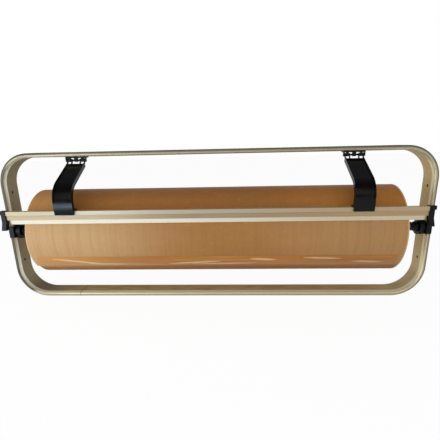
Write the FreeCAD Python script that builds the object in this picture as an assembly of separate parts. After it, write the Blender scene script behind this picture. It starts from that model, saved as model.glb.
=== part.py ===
import FreeCAD, Part
import math
import os

# Gift wrap paper cutter: a bent tube frame holds a paper roll on an axle,
# and a cutter rail on two hinged arms rests on the roll.
# X runs along the roll, Y from front to back, Z up, all in millimetres.
# The origin is the middle of the bottom bar's underside.

Vector = FreeCAD.Vector
X_AXIS = Vector(1, 0, 0)
Y_AXIS = Vector(0, 1, 0)
Z_AXIS = Vector(0, 0, 1)

# A cutting tool runs this far past the face it opens, and two places
# closer than the tolerance count as the same
overrun = 1.0
tolerance = 0.01

# Paper roll and its cardboard core
roll_length = 500.0
roll_diameter = 121.0
core_bore = 30.0
core_wall = 2.5
tape_thickness = 0.15
tape_width = 19.0
tape_end_margin = 8.0
tape_angle = 24.0

# Frame tube, and the space it leaves at each end of the roll
roll_end_space = 55.0
frame_height = 216.0
tube_depth = 32.0
tube_thickness = 6.2
tube_wall = 1.2
tube_edge_radius = 3.0
corner_radius = 45.0

# Seam of the loop and the plug inside it
seam_inset = 40.0
seam_gap = 0.3
plug_length = 60.0
plug_clearance = 0.15
plug_screw_offset = 18.0
plug_screw_reach = 3.0

# Fastening holes in the side legs
side_hole_diameter = 4.2
side_hole_spacing = 105.0

# Countersunk screws: shank, head, head height, cross recess
screw_shank_diameter = 3.0
screw_head_diameter = 5.6
screw_head_height = 1.5
screw_reach = 2.0
recess_width = 0.8
recess_depth = 0.9
recess_reach = 3.2

# Axle, bushes and retaining clips
roll_axis_y = -3.8
roll_axis_drop = 4.8
axle_diameter = 8.0
axle_end_gap = 0.3
axle_chamfer = 0.6
running_clearance = 0.05
bush_seat_diameter = 11.0
bush_seat_clearance = 0.1
bush_flange_diameter = 15.4
bush_flange_thickness = 2.0
bush_nose_diameter = 10.6
bush_nose_length = 6.0
clip_outer_diameter = 13.0
clip_groove_diameter = 6.6
clip_thickness = 0.9
clip_side_gap = 0.3
clip_mouth = 5.4

# Bearing brackets on the side legs
bracket_height = 17.0
bracket_plate = 2.5
bracket_lip = 1.6
bracket_lip_setback = 1.0
bracket_edge_radius = 0.7
boss_diameter = 23.0
boss_length = 7.0
slot_angle = 45.0
side_gap = 0.3

# Core plugs and their thumb screws
core_plug_clearance = 0.1
core_plug_length = 18.0
core_plug_lead = 4.0
core_flange_diameter = 44.0
core_flange_thickness = 4.0
core_hub_diameter = 22.0
core_hub_length = 12.0
core_rim_radius = 1.0
axle_fit_clearance = 0.05
thumb_screw_diameter = 4.0
thumb_head_diameter = 10.0
thumb_head_height = 5.0
thumb_head_gap = 1.0
thumb_head_chamfer = 0.6

# Hinge clips under the top bar, with the hinge line
arm_inset = 60.0
hinge_setback = 2.7
hinge_drop = 4.8
hinge_pin_diameter = 2.5
hinge_lug_radius = 2.2
clip_plate_thickness = 1.6
clip_plate_width = 28.4
clip_plate_depth = 11.0
clip_side_lug_width = 3.0
clip_middle_lug_width = 4.4
clip_screw_spacing = 10.0
clip_screw_setback = 2.9

# Curved arms
arm_width = 25.0
arm_depth = 5.6
arm_front_margin = 3.8
arm_bend_radius = 30.0
arm_bend_rise = 11.0
arm_web_thickness = 2.0
arm_web_recess = 1.1
arm_rim_width = 1.6
arm_top_gap = 4.6
arm_lug_root = 1.0
arm_rib_position = 6.0
arm_rib_width = 1.2
arm_lug_width = 1.2
arm_foot_radius = 85.0
arm_shoulder = 2.0
arm_hook_overlap = 4.8
arm_tab_thickness = 2.0
arm_tab_drop = 7.0
arm_rail_gap = 0.1
arm_screw_spacing = 14.0
arm_screw_drop = 3.6
arm_screw_length = 5.0
pan_head_diameter = 5.4
pan_head_height = 1.8

# Cutter rail and its blade
rail_overhang = 20.0
rail_rise = 39.8
blade_gap = 0.6
rail_depth = 6.4
flange_height = 5.4
rail_recess = 0.8
recess_height = 6.1
lip_thickness = 0.9
blade_thickness = 0.6
blade_slot_clearance = 0.1
blade_tilt = 17.0
blade_grip = 3.3
blade_reach = 6.6
blade_bevel = 1.2
blade_end_margin = 1.0
seat_drop = 2.0
rail_wall = 1.2
rail_chamber_height = 4.6
rail_rear_bevel = 1.5

# End caps of the rail
cap_thickness = 6.4
cap_margin = 0.8
cap_top_rise = 0.8
cap_tail_length = 11.0
cap_tail_depth = 6.0
cap_ear_height = 5.0
cap_ear_width = 1.8
cap_tail_flare = 2.5
cap_peg_length = 10.0
cap_peg_clearance = 0.1
cap_edge_radius = 0.6

# Worked out from the sizes above
frame_width = roll_length + 2 * roll_end_space
leg_inner_x = frame_width / 2 - tube_thickness
seam_x = seam_inset - roll_length / 2
top_bar_underside = frame_height - tube_thickness
arm_centre_x = roll_length / 2 - arm_inset
hinge_y = hinge_setback - tube_depth / 2
hinge_z = top_bar_underside - hinge_drop
clip_front_y = hinge_y - hinge_lug_radius
core_outer_radius = core_bore / 2 + core_wall
roll_radius = roll_diameter / 2
roll_axis_z = frame_height / 2 - roll_axis_drop
bracket_face_x = leg_inner_x - bracket_plate
boss_face_x = bracket_face_x - boss_length
bush_outer_x = bracket_face_x - side_gap
bush_flange_x = boss_face_x - side_gap
bush_inner_x = bush_flange_x - bush_flange_thickness - bush_nose_length
axle_half_length = bush_outer_x - axle_end_gap
clip_outer_x = bush_inner_x - clip_side_gap
clip_inner_x = clip_outer_x - clip_thickness

# The rail hangs where the tip of its blade just clears the paper
rail_length = roll_length + 2 * rail_overhang
rail_top_z = roll_axis_z + rail_rise
lip_bottom_z = rail_top_z - flange_height - recess_height
tilt = math.radians(blade_tilt)
blade_length = blade_grip + blade_reach
blade_front = rail_recess + lip_thickness + blade_slot_clearance / 2
tip_z = lip_bottom_z + blade_grip - blade_length * math.cos(tilt)
tip_distance = math.sqrt((roll_radius + blade_gap) ** 2 - (tip_z - roll_axis_z) ** 2)
tip_y = roll_axis_y - tip_distance
rail_front_y = tip_y - blade_length * math.sin(tilt) - blade_front
rail_rear_y = rail_front_y + rail_depth

# The arm's straight part passes just under the ears of the hinge clip
arm_front_y = rail_front_y - arm_front_margin
bend_centre = Vector(0, arm_front_y + arm_bend_radius, rail_top_z + arm_bend_rise)
hinge_point = Vector(0, hinge_y, hinge_z)
arm_hinge_offset = hinge_lug_radius + side_gap - arm_web_recess
reach = hinge_point - bend_centre
slope = (math.atan2(reach.z, reach.y)
         - math.asin((arm_bend_radius + arm_hinge_offset) / reach.Length))
slope_direction = Vector(0, math.cos(slope), math.sin(slope))
slope_normal = Vector(0, -math.sin(slope), math.cos(slope))
slope_start = bend_centre + slope_normal * arm_bend_radius
slope_length = (hinge_point - slope_start).dot(slope_direction) - arm_top_gap
arm_block_bottom = rail_top_z + arm_rail_gap
arm_block_top = arm_block_bottom + arm_shoulder


def box(x_range, y_range, z_range):
    """Box between the two ends of each range."""
    corner = Vector(x_range[0], y_range[0], z_range[0])
    return Part.makeBox(x_range[1] - x_range[0], y_range[1] - y_range[0],
                        z_range[1] - z_range[0], corner)


def rod_x(x_start, x_end, y, z, radius):
    """Cylinder along X."""
    return Part.makeCylinder(radius, x_end - x_start, Vector(x_start, y, z), X_AXIS)


def cone_x(x_start, x_end, y, z, start_radius, end_radius):
    """Cone along X."""
    base = Vector(x_start, y, z)
    return Part.makeCone(start_radius, end_radius, x_end - x_start, base, X_AXIS)


def extrude_section(points, x_start, x_end):
    """Solid along X with a straight-sided section given as (y, z) points."""
    corners = [Vector(x_start, y, z) for y, z in points]
    wire = Part.makePolygon(corners + corners[:1])
    return Part.Face(wire).extrude(Vector(x_end - x_start, 0, 0))


def join(pieces):
    """One clean solid out of touching pieces."""
    first = pieces[0]
    return first.fuse(pieces[1:]).removeSplitter()


def mirrored(shape):
    """The same piece for the other end of the object."""
    return shape.mirror(Vector(0, 0, 0), X_AXIS)


def countersunk_screw(point, direction, length):
    """Cross-recessed screw whose flat head lies at the point, pointing along direction."""
    head = Part.makeCone(screw_head_diameter / 2, screw_shank_diameter / 2,
                         screw_head_height, point, direction)
    shank = Part.makeCylinder(screw_shank_diameter / 2, length, point, direction)
    screw = head.fuse(shank)
    return screw.cut(cross_recess(point, direction)).removeSplitter()


def cross_recess(point, direction):
    """Cross-shaped drive in a screw head."""
    arms = []
    for turn in (0, 90):
        arm = Part.makeBox(recess_reach, recess_width, recess_depth,
                           Vector(-recess_reach / 2, -recess_width / 2, 0))
        arm.rotate(Vector(0, 0, 0), Z_AXIS, turn)
        arms.append(arm)
    cross = arms[0].fuse(arms[1])
    cross.Placement = FreeCAD.Placement(point, FreeCAD.Rotation(Z_AXIS, direction))
    return cross


def countersunk_hole(point, direction, length):
    """Hole that takes a countersunk screw."""
    head = Part.makeCone(screw_head_diameter / 2, screw_shank_diameter / 2,
                         screw_head_height, point, direction)
    shank = Part.makeCylinder(screw_shank_diameter / 2, length, point, direction)
    return head.fuse(shank)


# Places of the screws, shared by the screws and by their holes

def splice_screw_points():
    return [Vector(seam_x + side * plug_screw_offset, 0, 0) for side in (-1, 1)]


def clip_screw_points(centre_x):
    y = clip_front_y + clip_plate_depth - clip_screw_setback
    z = top_bar_underside - clip_plate_thickness
    return [Vector(centre_x + side * clip_screw_spacing / 2, y, z) for side in (-1, 1)]


def bracket_screw_point():
    return Vector(bracket_face_x, roll_axis_y, roll_axis_z)


splice_screw_length = tube_wall + plug_screw_reach
clip_screw_length = clip_plate_thickness + tube_wall + screw_reach
bracket_screw_length = bracket_plate + tube_wall + screw_reach


def rounded_section(depth, height, radius):
    """Face of a rounded rectangle across the X direction, about the origin."""
    edges = []
    corners = [(1, 1), (-1, 1), (-1, -1), (1, -1)]
    for number, (side_y, side_z) in enumerate(corners):
        centre = Vector(0, side_y * (depth / 2 - radius), side_z * (height / 2 - radius))
        ends = []
        for turn in (0, 45, 90):
            angle = math.radians(90 * number + turn)
            ends.append(centre + Vector(0, math.cos(angle), math.sin(angle)) * radius)
        if edges:
            edges.append(Part.makeLine(edges[-1].Vertexes[-1].Point, ends[0]))
        edges.append(Part.Arc(*ends).toShape())
    edges.append(Part.makeLine(edges[-1].Vertexes[-1].Point, edges[0].Vertexes[0].Point))
    return Part.Face(Part.Wire(edges))


def loop_bar(section):
    """Sweep the section once round the loop, from the seam to the seam."""
    straight_x = frame_width - 2 * corner_radius
    straight_z = frame_height - 2 * corner_radius
    first = straight_x / 2 - seam_x - seam_gap / 2
    last = straight_x / 2 + seam_x - seam_gap / 2
    bend = corner_radius - tube_thickness / 2
    point = Vector(seam_x + seam_gap / 2, 0, tube_thickness / 2)
    heading = FreeCAD.Rotation()
    quarter_turn = FreeCAD.Rotation(Y_AXIS, -90)
    pieces = []
    lengths = [first, straight_z, straight_x, straight_z, last]
    for number, length in enumerate(lengths, 1):
        along = heading.multVec(X_AXIS)
        inward = heading.multVec(Z_AXIS)
        pieces.append(placed(section, point, heading).extrude(along * length))
        point = point + along * length
        if number < len(lengths):
            corner = placed(section, point, heading)
            pieces.append(corner.revolve(point + inward * bend, Y_AXIS * -1, 90))
            point = point + (along + inward) * bend
            heading = heading * quarter_turn
    return join(pieces)


def placed(section, point, heading):
    face = section.copy()
    face.Placement = FreeCAD.Placement(point, heading)
    return face


def side_hole_heights():
    middle = frame_height / 2
    return [middle - side_hole_spacing / 2, middle + side_hole_spacing / 2]


def frame_tube():
    outside = loop_bar(rounded_section(tube_depth, tube_thickness, tube_edge_radius))
    inside = loop_bar(rounded_section(tube_depth - 2 * tube_wall, tube_thickness - 2 * tube_wall,
                                      tube_edge_radius - tube_wall))
    holes = []
    half_width = frame_width / 2 + overrun
    for z in side_hole_heights():
        holes.append(rod_x(-half_width, half_width, 0, z, side_hole_diameter / 2))
    for point in splice_screw_points():
        holes.append(countersunk_hole(point, Z_AXIS, splice_screw_length))
    for centre_x in (-arm_centre_x, arm_centre_x):
        for point in clip_screw_points(centre_x):
            holes.append(countersunk_hole(point, Z_AXIS, clip_screw_length))
    bracket_hole = countersunk_hole(bracket_screw_point(), X_AXIS, bracket_screw_length)
    holes.extend([bracket_hole, mirrored(bracket_hole)])
    return outside.cut([inside] + holes)


def splice_plug():
    margin = tube_wall + plug_clearance
    section = rounded_section(tube_depth - 2 * margin, tube_thickness - 2 * margin,
                              tube_edge_radius - margin)
    start = Vector(seam_x - plug_length / 2, 0, tube_thickness / 2)
    plug = placed(section, start, FreeCAD.Rotation()).extrude(X_AXIS * plug_length)
    holes = [countersunk_hole(point, Z_AXIS, splice_screw_length)
             for point in splice_screw_points()]
    return plug.cut(holes)


def splice_screws():
    return Part.makeCompound([countersunk_screw(point, Z_AXIS, splice_screw_length)
                              for point in splice_screw_points()])


def bearing_bracket():
    """Saddle round the right leg, with the open bearing for one bush."""
    z_range = (roll_axis_z - bracket_height / 2, roll_axis_z + bracket_height / 2)
    front = -tube_depth / 2
    back = tube_depth / 2
    plate = box((bracket_face_x, leg_inner_x), (front - bracket_lip, back + bracket_lip), z_range)
    lips = []
    for y_range in ((front - bracket_lip, front), (back, back + bracket_lip)):
        lips.append(box((bracket_face_x, frame_width / 2 - bracket_lip_setback), y_range, z_range))
    saddle = join([plate] + lips)
    outer_edges = [edge for edge in saddle.Edges
                   if abs(abs(edge.CenterOfMass.y) - back - bracket_lip) < tolerance]
    saddle = saddle.makeFillet(bracket_edge_radius, outer_edges)
    boss = rod_x(boss_face_x, bracket_face_x, roll_axis_y, roll_axis_z, boss_diameter / 2)
    boss = boss.cut(bearing_slot())
    bracket = join([saddle, boss])
    return bracket.cut(countersunk_hole(bracket_screw_point(), X_AXIS, bracket_screw_length))


def bearing_slot():
    """Round seat with a straight way out, up and to the back."""
    radius = bush_seat_diameter / 2 + bush_seat_clearance
    x_range = (boss_face_x - overrun, bracket_face_x)
    seat = rod_x(x_range[0], x_range[1], roll_axis_y, roll_axis_z, radius)
    way_out = box(x_range, (roll_axis_y, roll_axis_y + boss_diameter),
                  (roll_axis_z - radius, roll_axis_z + radius))
    way_out.rotate(Vector(0, roll_axis_y, roll_axis_z), X_AXIS, slot_angle)
    return seat.fuse(way_out)


def bracket_screws():
    screw = countersunk_screw(bracket_screw_point(), X_AXIS, bracket_screw_length)
    return Part.makeCompound([screw, mirrored(screw)])


def axle_bush():
    """Plastic bush for the right end of the axle: seat, flange and tapered nose."""
    y = roll_axis_y
    z = roll_axis_z
    seat = rod_x(bush_flange_x, bush_outer_x, y, z, bush_seat_diameter / 2)
    flange = rod_x(bush_flange_x - bush_flange_thickness, bush_flange_x, y, z,
                   bush_flange_diameter / 2)
    nose = cone_x(bush_inner_x, bush_flange_x - bush_flange_thickness, y, z,
                  bush_nose_diameter / 2, bush_flange_diameter / 2)
    bore = rod_x(bush_inner_x - overrun, bush_outer_x + overrun, y, z,
                 axle_diameter / 2 + running_clearance)
    return join([nose, flange, seat]).cut(bore)


def axle_rod():
    rod = rod_x(-axle_half_length, axle_half_length, roll_axis_y, roll_axis_z,
                axle_diameter / 2)
    ends = [edge for edge in rod.Edges
            if abs(edge.CenterOfMass.x) > axle_half_length - tolerance]
    rod = rod.makeChamfer(axle_chamfer, ends)
    ring = rod_x(clip_inner_x, clip_outer_x, roll_axis_y, roll_axis_z, axle_diameter)
    ring = ring.cut(rod_x(clip_inner_x, clip_outer_x, roll_axis_y, roll_axis_z,
                          clip_groove_diameter / 2))
    return rod.cut([ring, mirrored(ring)])


def axle_clips():
    """Open retaining clip in the groove next to each bush."""
    y = roll_axis_y
    z = roll_axis_z
    clip = rod_x(clip_inner_x, clip_outer_x, y, z, clip_outer_diameter / 2)
    clip = clip.cut(rod_x(clip_inner_x, clip_outer_x, y, z, clip_groove_diameter / 2))
    mouth = box((clip_inner_x, clip_outer_x), (y - clip_mouth / 2, y + clip_mouth / 2),
                (z - clip_outer_diameter, z))
    clip = clip.cut(mouth)
    return Part.makeCompound([clip, mirrored(clip)])


def paper_roll():
    half = roll_length / 2
    paper = rod_x(-half, half, roll_axis_y, roll_axis_z, roll_radius)
    return paper.cut(rod_x(-half, half, roll_axis_y, roll_axis_z, core_outer_radius))


def core_tube():
    half = roll_length / 2
    tube = rod_x(-half, half, roll_axis_y, roll_axis_z, core_outer_radius)
    return tube.cut(rod_x(-half, half, roll_axis_y, roll_axis_z, core_bore / 2))


def closing_tape():
    """Strip of tape along the front of the roll that holds the paper's loose edge."""
    half = roll_length / 2 - tape_end_margin
    spread = math.degrees(tape_width / roll_radius)
    turns = (tape_angle, tape_angle + spread / 2, tape_angle + spread)
    arcs = []
    for radius in (roll_radius, roll_radius + tape_thickness):
        points = []
        for turn in turns:
            angle = math.radians(turn)
            points.append(Vector(-half, roll_axis_y - radius * math.cos(angle),
                                 roll_axis_z - radius * math.sin(angle)))
        arcs.append(points)
    inner, outer = arcs
    edges = [Part.Arc(*inner).toShape(),
             Part.makeLine(inner[2], outer[2]),
             Part.Arc(*reversed(outer)).toShape(),
             Part.makeLine(outer[0], inner[0])]
    return Part.Face(Part.Wire(edges)).extrude(Vector(2 * half, 0, 0))


def rounded_rod_x(x_start, x_end, y, z, radius):
    """Cylinder along X with a rounded rim at its far end."""
    rod = rod_x(x_start, x_end, y, z, radius)
    rim = [edge for edge in rod.Edges if abs(edge.CenterOfMass.x - x_end) < tolerance]
    return rod.makeFillet(core_rim_radius, rim)


def core_plug():
    """Hub at the right end of the roll: it fills the core and clamps on the axle."""
    y = roll_axis_y
    z = roll_axis_z
    end = roll_length / 2
    radius = core_bore / 2 - core_plug_clearance
    tip = end - core_plug_length
    lead = cone_x(tip, tip + core_plug_lead, y, z, radius - core_plug_lead / 2, radius)
    body = rod_x(tip + core_plug_lead, end, y, z, radius)
    flange_face = end + core_flange_thickness
    flange = rounded_rod_x(end, flange_face, y, z, core_flange_diameter / 2)
    hub_end = flange_face + core_hub_length
    hub = rounded_rod_x(flange_face - core_rim_radius, hub_end, y, z, core_hub_diameter / 2)
    plug = join([lead, body, flange, hub])
    bore = rod_x(tip - overrun, hub_end + overrun, y, z,
                 axle_diameter / 2 + axle_fit_clearance)
    screw_hole = Part.makeCylinder(thumb_screw_diameter / 2, core_hub_diameter,
                                   thumb_screw_foot(), Z_AXIS)
    return plug.cut([bore, screw_hole])


def thumb_screw_foot():
    x = roll_length / 2 + core_flange_thickness + core_hub_length / 2
    return Vector(x, roll_axis_y, roll_axis_z + axle_diameter / 2)


def thumb_screws():
    """Knurled screws that clamp the two plugs on the axle."""
    foot = thumb_screw_foot()
    head_z = roll_axis_z + core_hub_diameter / 2 + thumb_head_gap
    shank = Part.makeCylinder(thumb_screw_diameter / 2, head_z - foot.z, foot, Z_AXIS)
    head = Part.makeCylinder(thumb_head_diameter / 2, thumb_head_height,
                             Vector(foot.x, foot.y, head_z), Z_AXIS)
    rims = [edge for edge in head.Edges if edge.Curve.TypeId == "Part::GeomCircle"]
    head = head.makeChamfer(thumb_head_chamfer, rims)
    screw = join([shank, head])
    return Part.makeCompound([screw, mirrored(screw)])


# Hinge clips and pins

def lug(x_start, x_end, foot_z):
    """Hinge ear hanging from foot_z round the hinge line."""
    eye = rod_x(x_start, x_end, hinge_y, hinge_z, hinge_lug_radius)
    leg = box((x_start, x_end), (hinge_y - hinge_lug_radius, hinge_y + hinge_lug_radius),
              (hinge_z, foot_z))
    return eye.fuse(leg)


def hinge_clip(centre_x):
    """Clip screwed under the top bar, with five ears for the hinge pin."""
    half = clip_plate_width / 2
    plate_z = top_bar_underside - clip_plate_thickness
    plate = box((centre_x - half, centre_x + half),
                (clip_front_y, clip_front_y + clip_plate_depth), (plate_z, top_bar_underside))
    pieces = [plate]
    middle = clip_middle_lug_width / 2
    pieces.append(lug(centre_x - middle, centre_x + middle, plate_z))
    cheek = arm_width / 2 + side_gap
    reach_x = arm_width / 2 - arm_rim_width - side_gap
    for near, far in ((cheek, half), (reach_x - clip_side_lug_width, reach_x)):
        pieces.append(lug(centre_x - far, centre_x - near, plate_z))
        pieces.append(lug(centre_x + near, centre_x + far, plate_z))
    clip = join(pieces)
    holes = [countersunk_hole(point, Z_AXIS, clip_screw_length)
             for point in clip_screw_points(centre_x)]
    holes.append(rod_x(centre_x - half, centre_x + half, hinge_y, hinge_z,
                       hinge_pin_diameter / 2))
    return clip.cut(holes)


def clip_screws():
    screws = []
    for centre_x in (-arm_centre_x, arm_centre_x):
        for point in clip_screw_points(centre_x):
            screws.append(countersunk_screw(point, Z_AXIS, clip_screw_length))
    return Part.makeCompound(screws)


def hinge_pin(centre_x):
    half = clip_plate_width / 2
    return rod_x(centre_x - half, centre_x + half, hinge_y, hinge_z, hinge_pin_diameter / 2)


# Arms

def arm_layer(centre_x, width, near, far):
    """Curved band of the arm between two depths behind its front face."""
    x = centre_x - width / 2
    lines = []
    for depth in (near, far):
        radius = arm_bend_radius - depth
        top = bend_centre + slope_normal * radius
        tail = top + slope_direction * slope_length
        middle = bend_centre + (slope_normal - Y_AXIS).normalize() * radius
        end = bend_centre - Y_AXIS * radius
        lines.append([point + Vector(x, 0, 0) for point in (tail, top, middle, end)])
    front, back = lines
    edges = [Part.makeLine(front[0], front[1]),
             Part.Arc(front[1], front[2], front[3]).toShape(),
             Part.makeLine(front[3], back[3]),
             Part.Arc(back[3], back[2], back[1]).toShape(),
             Part.makeLine(back[1], back[0]),
             Part.makeLine(back[0], front[0])]
    return Part.Face(Part.Wire(edges)).extrude(Vector(width, 0, 0))


def arm_lug(x_start, x_end):
    """Finger of the arm, from the end of the curved band up to the hinge line."""
    eye = rod_x(x_start, x_end, hinge_y, hinge_z, hinge_lug_radius)
    root = -(arm_top_gap + arm_lug_root)
    web_front = -(arm_hinge_offset + arm_web_recess)
    outline = [(root, web_front - arm_web_thickness), (0, -hinge_lug_radius),
               (0, hinge_lug_radius), (root, web_front)]
    finger = extrude_section(outline, x_start, x_end)
    finger.rotate(Vector(0, 0, 0), X_AXIS, math.degrees(slope))
    finger.translate(hinge_point)
    return eye.fuse(finger)


def arm_foot(centre_x):
    """Foot of the arm: its front curves back over the rail, and a tab grips it behind."""
    top_z = bend_centre.z
    foot_z = rail_top_z - arm_hook_overlap
    tab_front = rail_rear_y + arm_rail_gap
    tab_back = tab_front + arm_tab_thickness
    plate_back = rail_front_y - arm_rail_gap
    inner_y = arm_front_y + arm_web_recess + arm_web_thickness
    corners = [(foot_front_y(foot_z), foot_z), (plate_back, foot_z),
               (plate_back, arm_block_bottom), (tab_front, arm_block_bottom),
               (tab_front, rail_top_z - arm_tab_drop), (tab_back, rail_top_z - arm_tab_drop),
               (tab_back, arm_block_top), (inner_y, arm_block_top), (inner_y, top_z),
               (arm_front_y, top_z)]
    x = centre_x - arm_width / 2
    points = [Vector(x, y, z) for y, z in corners]
    edges = [Part.makeLine(start, end) for start, end in zip(points, points[1:])]
    middle_z = (top_z + foot_z) / 2
    middle = Vector(x, foot_front_y(middle_z), middle_z)
    edges.append(Part.Arc(points[-1], middle, points[0]).toShape())
    return Part.Face(Part.Wire(edges)).extrude(Vector(arm_width, 0, 0))


def foot_front_y(z):
    """Depth of the foot's rounded front at a height."""
    drop = bend_centre.z - z
    return arm_front_y + arm_foot_radius - math.sqrt(arm_foot_radius ** 2 - drop ** 2)


def cutter_arm(centre_x):
    pieces = [arm_layer(centre_x, arm_width, arm_web_recess, arm_web_recess + arm_web_thickness)]
    for side in (-1, 1):
        rim = centre_x + side * (arm_width - arm_rim_width) / 2
        pieces.append(arm_layer(rim, arm_rim_width, 0, arm_depth))
        pieces.append(box((rim - arm_rim_width / 2, rim + arm_rim_width / 2),
                          (arm_front_y + arm_web_recess, arm_front_y + arm_depth),
                          (arm_block_bottom, bend_centre.z)))
        rib = centre_x + side * arm_rib_position
        pieces.append(arm_layer(rib, arm_rib_width, arm_web_recess, arm_depth))
        for position, width in ((arm_width / 2 - arm_lug_width / 2, arm_lug_width),
                                (arm_rib_position, arm_rib_width)):
            middle = centre_x + side * position
            pieces.append(arm_lug(middle - width / 2, middle + width / 2))
    pieces.append(arm_foot(centre_x))
    arm = join(pieces)
    holes = [rod_x(centre_x - arm_width, centre_x + arm_width, hinge_y, hinge_z,
                   hinge_pin_diameter / 2 + running_clearance)]
    for point in arm_screw_points(centre_x):
        holes.append(pan_screw_hole(point))
    return arm.cut(holes)


def arm_screw_points(centre_x):
    y = rail_rear_y + arm_rail_gap + arm_tab_thickness
    return [Vector(centre_x + side * arm_screw_spacing / 2, y, rail_top_z - arm_screw_drop)
            for side in (-1, 1)]


def pan_screw_hole(point):
    return Part.makeCylinder(screw_shank_diameter / 2, arm_screw_length, point, Y_AXIS * -1)


def arm_screws():
    """Pan-head screws from behind, through the tab into the rail."""
    screws = []
    for centre_x in (-arm_centre_x, arm_centre_x):
        for point in arm_screw_points(centre_x):
            shank = Part.makeCylinder(screw_shank_diameter / 2, arm_screw_length, point,
                                      Y_AXIS * -1)
            head = Part.makeCylinder(pan_head_diameter / 2, pan_head_height, point, Y_AXIS)
            top = point + Y_AXIS * pan_head_height
            rim = [edge for edge in head.Edges if abs(edge.CenterOfMass.y - top.y) < tolerance]
            head = head.makeFillet(pan_head_height / 2, rim)
            screw = join([shank, head])
            screws.append(screw.cut(cross_recess(top, Y_AXIS * -1)))
    return Part.makeCompound(screws)


# Cutter rail, blade and caps

blade_down = Vector(0, math.sin(tilt), -math.cos(tilt))
blade_back = Vector(0, math.cos(tilt), math.sin(tilt))
blade_top = Vector(0, rail_front_y + blade_front, lip_bottom_z + blade_grip)
pocket_front_y = rail_front_y + rail_recess + lip_thickness
pocket_top_z = blade_top.z + blade_thickness * math.sin(tilt) + blade_slot_clearance
chamber_y_range = (rail_front_y + rail_recess + rail_wall, rail_rear_y - rail_wall)
chamber_z_range = (rail_top_z - rail_wall - rail_chamber_height, rail_top_z - rail_wall)


def seat_y(z):
    """Depth of the sloping seat behind the blade at a height."""
    across = (blade_thickness + blade_slot_clearance) / math.cos(tilt)
    return blade_top.y + across + (blade_top.z - z) * math.tan(tilt)


def cutter_rail():
    """Aluminium section with a flange, a recessed strip and the blade's pocket."""
    recess_y = rail_front_y + rail_recess
    seat_z = lip_bottom_z - seat_drop
    seat_foot_y = seat_y(seat_z)
    section = [(rail_front_y, rail_top_z),
               (rail_front_y, rail_top_z - flange_height),
               (recess_y, rail_top_z - flange_height - rail_recess / 2),
               (recess_y, lip_bottom_z),
               (pocket_front_y, lip_bottom_z),
               (pocket_front_y, pocket_top_z),
               (seat_y(pocket_top_z), pocket_top_z),
               (seat_foot_y, seat_z),
               (seat_foot_y + rail_wall, seat_z),
               (rail_rear_y, seat_z + rail_rear_bevel),
               (rail_rear_y, rail_top_z)]
    half = rail_length / 2
    rail = extrude_section(section, -half, half)
    holes = [box((-half, half), chamber_y_range, chamber_z_range)]
    for centre_x in (-arm_centre_x, arm_centre_x):
        for point in arm_screw_points(centre_x):
            holes.append(pan_screw_hole(point))
    return rail.cut(holes)


def cutter_blade():
    """Steel strip held in the rail's pocket, with a ground edge towards the roll."""
    tip_front = blade_top + blade_down * blade_length
    rear_top = blade_top + blade_back * blade_thickness
    rear_foot = rear_top + blade_down * (blade_length - blade_bevel)
    corners = [blade_top, tip_front, rear_foot, rear_top]
    half = rail_length / 2 - blade_end_margin
    return extrude_section([(point.y, point.z) for point in corners], -half, half)


def rail_cap():
    """Moulded cap on the right end of the rail, with an ear above and a tail below."""
    start = rail_length / 2
    end = start + cap_thickness
    front = rail_front_y - cap_margin
    back = rail_rear_y + cap_margin
    top = rail_top_z + cap_top_rise
    bottom = lip_bottom_z - seat_drop - cap_margin
    body = box((start, end), (front, back), (bottom, top))
    ear = box((start, end + cap_ear_width), (front, back), (top - cap_ear_height, top))
    tail_foot = bottom - cap_tail_length
    outline = [(start, bottom), (end, bottom), (end + cap_tail_flare, tail_foot),
               (start + cap_tail_flare, tail_foot)]
    corners = [Vector(x, front, z) for x, z in outline]
    tail_face = Part.Face(Part.makePolygon(corners + corners[:1]))
    tail = tail_face.extrude(Vector(0, cap_tail_depth, 0))
    cap = join([body, ear, tail])
    front_edges = [edge for edge in cap.Edges
                   if abs(edge.CenterOfMass.y - front) < tolerance]
    cap = cap.makeFillet(cap_edge_radius, front_edges)
    peg = box((start - cap_peg_length, start),
              (chamber_y_range[0] + cap_peg_clearance, chamber_y_range[1] - cap_peg_clearance),
              (chamber_z_range[0] + cap_peg_clearance, chamber_z_range[1] - cap_peg_clearance))
    return join([cap, peg])


def all_parts():
    bracket = bearing_bracket()
    bush = axle_bush()
    plug = core_plug()
    cap = rail_cap()
    return {
        "frame_tube": frame_tube(),
        "splice_plug": splice_plug(),
        "splice_screws": splice_screws(),
        "bearing_bracket_left": mirrored(bracket),
        "bearing_bracket_right": bracket,
        "bracket_screws": bracket_screws(),
        "hinge_clip_left": hinge_clip(-arm_centre_x),
        "hinge_clip_right": hinge_clip(arm_centre_x),
        "hinge_clip_screws": clip_screws(),
        "hinge_pin_left": hinge_pin(-arm_centre_x),
        "hinge_pin_right": hinge_pin(arm_centre_x),
        "cutter_arm_left": cutter_arm(-arm_centre_x),
        "cutter_arm_right": cutter_arm(arm_centre_x),
        "arm_screws": arm_screws(),
        "cutter_rail": cutter_rail(),
        "cutter_blade": cutter_blade(),
        "rail_cap_left": mirrored(cap),
        "rail_cap_right": cap,
        "axle_bush_left": mirrored(bush),
        "axle_bush_right": bush,
        "axle_rod": axle_rod(),
        "axle_clips": axle_clips(),
        "core_plug_left": mirrored(plug),
        "core_plug_right": plug,
        "thumb_screws": thumb_screws(),
        "core_tube": core_tube(),
        "paper_roll": paper_roll(),
        "closing_tape": closing_tape(),
    }


def main():
    os.makedirs("parts", exist_ok=True)
    for name, shape in all_parts().items():
        shape.exportStep("parts/%s.step" % name)


main()
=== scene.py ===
import bmesh
import bpy
import math
from mathutils import Matrix, Vector, noise


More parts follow.
